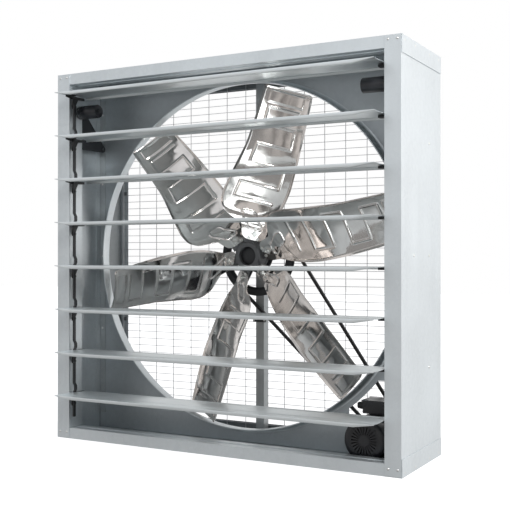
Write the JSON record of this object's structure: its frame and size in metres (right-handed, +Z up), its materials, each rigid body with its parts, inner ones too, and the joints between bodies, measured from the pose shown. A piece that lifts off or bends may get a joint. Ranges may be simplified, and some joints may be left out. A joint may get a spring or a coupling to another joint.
{
  "type": "box exhaust fan",
  "caption": "Square galvanised box exhaust fan with a belt-driven stainless impeller, drop-hammer louvers on the front and a wire guard on the rear.",
  "frame": {"origin": "middle of the casing's underside", "axes": "+Z up, +X to the right and +Y to the rear, seen from the louver side; the impeller turns about Y"},
  "size_m": [1.38, 0.487, 1.38],
  "materials": {
    "casing_sheet": "galvanised sheet, satin",
    "guard_wire": "galvanised wire",
    "louver_sheet": "satin aluminium",
    "blade_steel": "polished stainless",
    "cast_black": "black, cast",
    "painted_black": "black paint, satin",
    "black_plastic": "moulded, matt",
    "belt_rubber": "moulded rubber",
    "bright_steel": "machined steel"
  },
  "bodies": {
    "casing": {"top_panel": "casing_sheet", "bottom_panel": "casing_sheet", "left_panel": "casing_sheet", "right_panel": "casing_sheet", "venturi_panel": "casing_sheet", "venturi_strip_left": "casing_sheet", "venturi_strip_right": "casing_sheet", "centre_strut": "casing_sheet", "strut_clip": "black_plastic", "rear_guard": "guard_wire", "axle": "bright_steel", "v_belt": "belt_rubber", "motor_frame": "painted_black", "motor_shield_rear": "painted_black", "motor_stator": "bright_steel", "motor_fan_cover": "painted_black", "motor_base": "painted_black", "terminal_box": "painted_black", "cable_gland": "black_plastic"},
    "impeller": {"hub": "cast_black", "hub_cap": "black_plastic", "hub_bearing_front": "bright_steel", "hub_bearing_rear": "bright_steel", "driven_pulley": "cast_black", "blade_1": "blade_steel", "blade_2": "blade_steel", "blade_3": "blade_steel", "blade_4": "blade_steel", "blade_5": "blade_steel", "blade_6": "blade_steel", "blade_clamp_1": "bright_steel", "blade_clamp_2": "bright_steel", "blade_clamp_3": "bright_steel", "blade_clamp_4": "bright_steel", "blade_clamp_5": "bright_steel", "blade_clamp_6": "bright_steel"},
    "motor_shaft": {"motor_rotor": "bright_steel", "motor_fan": "black_plastic", "motor_pulley": "cast_black"},
    "louver_1": {"louver_1": "louver_sheet", "crank_1": "black_plastic"},
    "louver_2": {"louver_2": "louver_sheet", "crank_2": "black_plastic"},
    "louver_3": {"louver_3": "louver_sheet", "crank_3": "black_plastic"},
    "louver_4": {"louver_4": "louver_sheet", "crank_4": "black_plastic"},
    "louver_5": {"louver_5": "louver_sheet", "crank_5": "black_plastic"},
    "louver_6": {"louver_6": "louver_sheet", "crank_6": "black_plastic"},
    "louver_7": {"louver_7": "louver_sheet", "crank_7": "black_plastic"},
    "louver_8": {"louver_8": "louver_sheet", "crank_8": "black_plastic"},
    "link_bar": {"link_bar": "black_plastic"},
    "hammer_left": {"hammer_arm_left": "painted_black", "hammer_weight_left": "cast_black"},
    "hammer_right": {"hammer_arm_right": "painted_black", "hammer_weight_right": "cast_black"}
  },
  "joints": [
    {"name": "impeller_spin", "type": "hinge", "parent": "casing", "child": "impeller", "pos_m": [0, 0.09, 0.69], "axis": [0, 1, 0], "continuous": true},
    {"name": "motor_spin", "type": "hinge", "parent": "casing", "child": "motor_shaft", "pos_m": [0.525, 0.015, 0.0845], "axis": [0, 1, 0], "continuous": true},
    {"name": "louver_1_swing", "type": "hinge", "parent": "casing", "child": "louver_1", "pos_m": [0, -0.17, 1.293], "axis": [1, 0, 0], "range_deg": [0, 80]},
    {"name": "louver_2_swing", "type": "hinge", "parent": "casing", "child": "louver_2", "pos_m": [0, -0.17, 1.1326], "axis": [1, 0, 0], "range_deg": [0, 80]},
    {"name": "louver_3_swing", "type": "hinge", "parent": "casing", "child": "louver_3", "pos_m": [0, -0.17, 0.9722], "axis": [1, 0, 0], "range_deg": [0, 80]},
    {"name": "louver_4_swing", "type": "hinge", "parent": "casing", "child": "louver_4", "pos_m": [0, -0.17, 0.8118], "axis": [1, 0, 0], "range_deg": [0, 80]},
    {"name": "louver_5_swing", "type": "hinge", "parent": "casing", "child": "louver_5", "pos_m": [0, -0.17, 0.6514], "axis": [1, 0, 0], "range_deg": [0, 80]},
    {"name": "louver_6_swing", "type": "hinge", "parent": "casing", "child": "louver_6", "pos_m": [0, -0.17, 0.491], "axis": [1, 0, 0], "range_deg": [0, 80]},
    {"name": "louver_7_swing", "type": "hinge", "parent": "casing", "child": "louver_7", "pos_m": [0, -0.17, 0.3306], "axis": [1, 0, 0], "range_deg": [0, 80]},
    {"name": "louver_8_swing", "type": "hinge", "parent": "casing", "child": "louver_8", "pos_m": [0, -0.17, 0.1702], "axis": [1, 0, 0], "range_deg": [0, 80]},
    {"name": "link_bar_pivot", "type": "hinge", "parent": "louver_1", "child": "link_bar", "pos_m": [-0.6155, -0.19, 1.255], "axis": [1, 0, 0], "range_deg": [-80, 0]},
    {"name": "hammer_left_swing", "type": "hinge", "parent": "casing", "child": "hammer_left", "pos_m": [-0.659, 0.036, 1.12], "axis": [1, 0, 0], "range_deg": [-32, 0]},
    {"name": "hammer_right_swing", "type": "hinge", "parent": "casing", "child": "hammer_right", "pos_m": [0.659, 0.036, 1.12], "axis": [1, 0, 0], "range_deg": [-32, 0]}
  ],
  "couplings": [
    {"joint": "motor_spin", "follows": "impeller_spin", "ratio": 2.898},
    {"joint": "louver_2_swing", "follows": "louver_1_swing", "ratio": 1},
    {"joint": "louver_3_swing", "follows": "louver_1_swing", "ratio": 1},
    {"joint": "louver_4_swing", "follows": "louver_1_swing", "ratio": 1},
    {"joint": "louver_5_swing", "follows": "louver_1_swing", "ratio": 1},
    {"joint": "louver_6_swing", "follows": "louver_1_swing", "ratio": 1},
    {"joint": "louver_7_swing", "follows": "louver_1_swing", "ratio": 1},
    {"joint": "louver_8_swing", "follows": "louver_1_swing", "ratio": 1},
    {"joint": "link_bar_pivot", "follows": "louver_1_swing", "ratio": -1},
    {"joint": "hammer_left_swing", "follows": "louver_1_swing", "ratio": -0.4},
    {"joint": "hammer_right_swing", "follows": "louver_1_swing", "ratio": -0.4}
  ]
}
